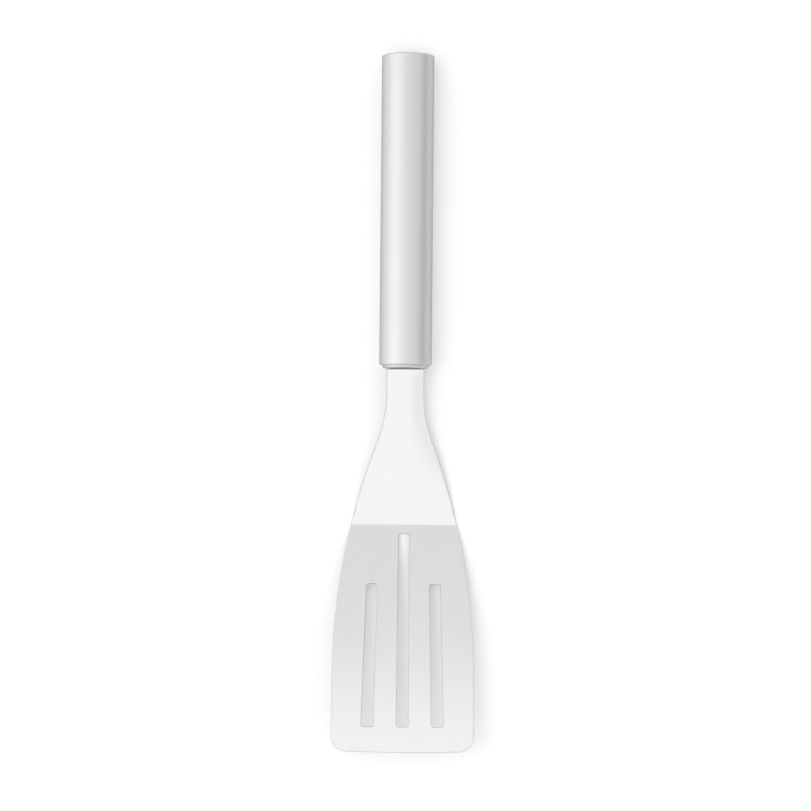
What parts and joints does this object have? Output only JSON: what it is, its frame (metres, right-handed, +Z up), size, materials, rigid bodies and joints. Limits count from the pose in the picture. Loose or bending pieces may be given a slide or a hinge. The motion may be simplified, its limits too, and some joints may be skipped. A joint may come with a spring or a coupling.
{
  "type": "slotted turner",
  "caption": "Stainless steel kitchen turner with a round tube handle, a flat flared neck, a creased heel and a slotted flat blade that lifts and turns food.",
  "frame": {"origin": "on the table, under the middle of the whole turner as it lies on its handle and on its crease, face up", "axes": "+Y from the tip of the blade to the end of the handle, +X across the blade, +Z up"},
  "size_m": [0.065, 0.3174, 0.024],
  "materials": {
    "blade_steel": "satin stainless sheet with fine grain along its length and deburred edges",
    "handle_steel": "matt brushed stainless",
    "inner_steel": "as rolled, hidden inside the handle",
    "weld_steel": "unground weld bead, hidden inside the handle"
  },
  "bodies": {
    "root": {"blade": "blade_steel", "handle_tube": "handle_steel", "front_cap": "handle_steel", "end_cap": "handle_steel", "tang_support": "inner_steel", "tang_weld_upper": "weld_steel", "tang_weld_lower": "weld_steel"}
  },
  "joints": []
}
